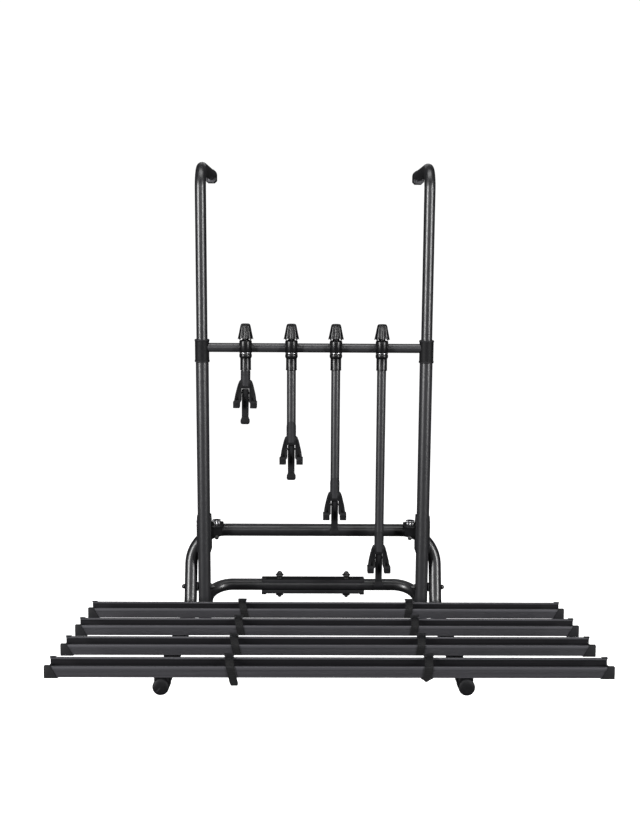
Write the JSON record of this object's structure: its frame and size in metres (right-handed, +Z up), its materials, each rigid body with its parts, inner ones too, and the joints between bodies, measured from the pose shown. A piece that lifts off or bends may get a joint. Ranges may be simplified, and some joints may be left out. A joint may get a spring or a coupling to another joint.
{
  "type": "bicycle carrier",
  "caption": "Rear-wall bicycle carrier with a fold-up platform of wheel rails, two height-adjustable hooks and swinging frame holders.",
  "frame": {"origin": "middle of the lower wall bracket's flat back face", "axes": "+Z up; +Y towards the vehicle, square to the bracket face; +X along the wheel rails"},
  "size_m": [1.28, 0.9383, 1.2776],
  "materials": {
    "coated_steel": "satin black powder coat",
    "anodised_rail": "dark grey anodised, lengthwise ridges",
    "black_plastic": "fine-grained moulded black",
    "gloss_black": "polished moulded black",
    "strap_rubber": "matt black strap",
    "zinc_steel": "bright zinc plate"
  },
  "bodies": {
    "frame": {"crossbar": "coated_steel", "lower_cross_tube": "coated_steel", "wall_bracket": "coated_steel", "upright_lower_left": "coated_steel", "t_joint_left": "black_plastic", "pivot_bolt_left": "zinc_steel", "lock_bracket_left": "black_plastic", "upright_lower_right": "coated_steel", "t_joint_right": "black_plastic", "pivot_bolt_right": "zinc_steel", "lock_bracket_right": "black_plastic"},
    "platform": {"platform_tube": "coated_steel", "arm_cap_left": "black_plastic", "arm_cap_right": "black_plastic", "rail_1": "anodised_rail", "rail_cap_1_left": "black_plastic", "rail_cap_1_right": "black_plastic", "rail_2": "anodised_rail", "rail_cap_2_left": "black_plastic", "rail_cap_2_right": "black_plastic", "rail_3": "anodised_rail", "rail_cap_3_left": "black_plastic", "rail_cap_3_right": "black_plastic", "rail_4": "anodised_rail", "rail_cap_4_left": "black_plastic", "rail_cap_4_right": "black_plastic"},
    "hook_left": {"hook_tube_left": "coated_steel", "hook_bracket_left": "black_plastic"},
    "lock_screw_left": {"lock_knob_left": "zinc_steel"},
    "hook_right": {"hook_tube_right": "coated_steel", "hook_bracket_right": "black_plastic"},
    "lock_screw_right": {"lock_knob_right": "zinc_steel"},
    "strap_1_left": {"wheel_strap_1_left": "strap_rubber"},
    "strap_1_right": {"wheel_strap_1_right": "strap_rubber"},
    "strap_2_left": {"wheel_strap_2_left": "strap_rubber"},
    "strap_2_right": {"wheel_strap_2_right": "strap_rubber"},
    "strap_3_left": {"wheel_strap_3_left": "strap_rubber"},
    "strap_3_right": {"wheel_strap_3_right": "strap_rubber"},
    "strap_4_left": {"wheel_strap_4_left": "strap_rubber"},
    "strap_4_right": {"wheel_strap_4_right": "strap_rubber"},
    "holder_1": {"holder_1_clamp": "gloss_black"},
    "holder_1_screw": {"holder_1_knob": "gloss_black"},
    "holder_1_grip": {"holder_1_arm": "coated_steel", "holder_1_claw": "black_plastic"},
    "holder_1_jaw": {"holder_1_finger": "black_plastic"},
    "holder_2": {"holder_2_clamp": "gloss_black"},
    "holder_2_screw": {"holder_2_knob": "gloss_black"},
    "holder_2_grip": {"holder_2_arm": "coated_steel", "holder_2_claw": "black_plastic"},
    "holder_2_jaw": {"holder_2_finger": "black_plastic"},
    "holder_3": {"holder_3_clamp": "gloss_black"},
    "holder_3_screw": {"holder_3_knob": "gloss_black"},
    "holder_3_grip": {"holder_3_arm": "coated_steel", "holder_3_claw": "black_plastic"},
    "holder_3_jaw": {"holder_3_finger": "black_plastic"},
    "holder_4": {"holder_4_clamp": "gloss_black"},
    "holder_4_screw": {"holder_4_knob": "gloss_black"},
    "holder_4_grip": {"holder_4_arm": "coated_steel", "holder_4_claw": "black_plastic"},
    "holder_4_jaw": {"holder_4_finger": "black_plastic"}
  },
  "joints": [
    {"name": "platform_fold", "type": "hinge", "parent": "frame", "child": "platform", "pos_m": [0, -0.165, 0.0375], "axis": [1, 0, 0], "range_deg": [-60, 0]},
    {"name": "hook_height_left", "type": "slide", "parent": "frame", "child": "hook_left", "axis": [0, 0, 1], "range_m": [-0.25, 0.15]},
    {"name": "lock_turn_left", "type": "hinge", "parent": "frame", "child": "lock_screw_left", "pos_m": [-0.27, -0.158, 0.1875], "axis": [0, 0, 1], "continuous": true},
    {"name": "hook_height_right", "type": "slide", "parent": "frame", "child": "hook_right", "axis": [0, 0, 1], "range_m": [-0.25, 0.15]},
    {"name": "lock_turn_right", "type": "hinge", "parent": "frame", "child": "lock_screw_right", "pos_m": [0.27, -0.158, 0.1875], "axis": [0, 0, 1], "continuous": true},
    {"name": "strap_slide_1_left", "type": "slide", "parent": "platform", "child": "strap_1_left", "axis": [1, 0, 0], "range_m": [-0.12, 0.12]},
    {"name": "strap_slide_1_right", "type": "slide", "parent": "platform", "child": "strap_1_right", "axis": [1, 0, 0], "range_m": [-0.15, 0.05]},
    {"name": "strap_slide_2_left", "type": "slide", "parent": "platform", "child": "strap_2_left", "axis": [1, 0, 0], "range_m": [-0.12, 0.12]},
    {"name": "strap_slide_2_right", "type": "slide", "parent": "platform", "child": "strap_2_right", "axis": [1, 0, 0], "range_m": [-0.15, 0.05]},
    {"name": "strap_slide_3_left", "type": "slide", "parent": "platform", "child": "strap_3_left", "axis": [1, 0, 0], "range_m": [-0.12, 0.12]},
    {"name": "strap_slide_3_right", "type": "slide", "parent": "platform", "child": "strap_3_right", "axis": [1, 0, 0], "range_m": [-0.15, 0.05]},
    {"name": "strap_slide_4_left", "type": "slide", "parent": "platform", "child": "strap_4_left", "axis": [1, 0, 0], "range_m": [-0.12, 0.12]},
    {"name": "strap_slide_4_right", "type": "slide", "parent": "platform", "child": "strap_4_right", "axis": [1, 0, 0], "range_m": [-0.15, 0.05]},
    {"name": "holder_1_swing", "type": "hinge", "parent": "frame", "child": "holder_1", "pos_m": [-0.1855, -0.165, 0.71], "axis": [-1, 0, 0], "range_deg": [0, 100]},
    {"name": "holder_1_knob_turn", "type": "hinge", "parent": "holder_1", "child": "holder_1_screw", "pos_m": [-0.1855, -0.185, 0.7375], "axis": [0, 0, 1], "continuous": true},
    {"name": "holder_1_twist", "type": "hinge", "parent": "holder_1", "child": "holder_1_grip", "pos_m": [-0.1855, -0.185, 0.6645], "axis": [0.014, 0, 0.9999], "range_deg": [0, 180]},
    {"name": "holder_1_jaw_hinge", "type": "hinge", "parent": "holder_1_grip", "child": "holder_1_jaw", "pos_m": [-0.18655, -0.185, 0.58951], "axis": [0.9999, 0, -0.014], "range_deg": [-35, 35]},
    {"name": "holder_2_swing", "type": "hinge", "parent": "frame", "child": "holder_2", "pos_m": [-0.062, -0.165, 0.71], "axis": [-1, 0, 0], "range_deg": [0, 100]},
    {"name": "holder_2_knob_turn", "type": "hinge", "parent": "holder_2", "child": "holder_2_screw", "pos_m": [-0.062, -0.185, 0.7375], "axis": [0, 0, 1], "continuous": true},
    {"name": "holder_2_twist", "type": "hinge", "parent": "holder_2", "child": "holder_2_grip", "pos_m": [-0.062, -0.185, 0.6645], "axis": [0, 0, 1], "range_deg": [0, 180]},
    {"name": "holder_2_jaw_hinge", "type": "hinge", "parent": "holder_2_grip", "child": "holder_2_jaw", "pos_m": [-0.062, -0.185, 0.4345], "axis": [1, 0, 0], "range_deg": [-35, 35]},
    {"name": "holder_3_swing", "type": "hinge", "parent": "frame", "child": "holder_3", "pos_m": [0.058, -0.165, 0.71], "axis": [-1, 0, 0], "range_deg": [0, 100]},
    {"name": "holder_3_knob_turn", "type": "hinge", "parent": "holder_3", "child": "holder_3_screw", "pos_m": [0.058, -0.185, 0.7375], "axis": [0, 0, 1], "continuous": true},
    {"name": "holder_3_twist", "type": "hinge", "parent": "holder_3", "child": "holder_3_grip", "pos_m": [0.058, -0.185, 0.6645], "axis": [0, 0, 1], "range_deg": [0, 180]},
    {"name": "holder_3_jaw_hinge", "type": "hinge", "parent": "holder_3_grip", "child": "holder_3_jaw", "pos_m": [0.058, -0.185, 0.2795], "axis": [1, 0, 0], "range_deg": [-35, 35]},
    {"name": "holder_4_swing", "type": "hinge", "parent": "frame", "child": "holder_4", "pos_m": [0.182, -0.165, 0.71], "axis": [-1, 0, 0], "range_deg": [0, 100]},
    {"name": "holder_4_knob_turn", "type": "hinge", "parent": "holder_4", "child": "holder_4_screw", "pos_m": [0.182, -0.185, 0.7375], "axis": [0, 0, 1], "continuous": true},
    {"name": "holder_4_twist", "type": "hinge", "parent": "holder_4", "child": "holder_4_grip", "pos_m": [0.182, -0.185, 0.6645], "axis": [0, 0, 1], "range_deg": [0, 180]},
    {"name": "holder_4_jaw_hinge", "type": "hinge", "parent": "holder_4_grip", "child": "holder_4_jaw", "pos_m": [0.182, -0.185, 0.1285], "axis": [1, 0, 0], "range_deg": [-35, 35]}
  ]
}
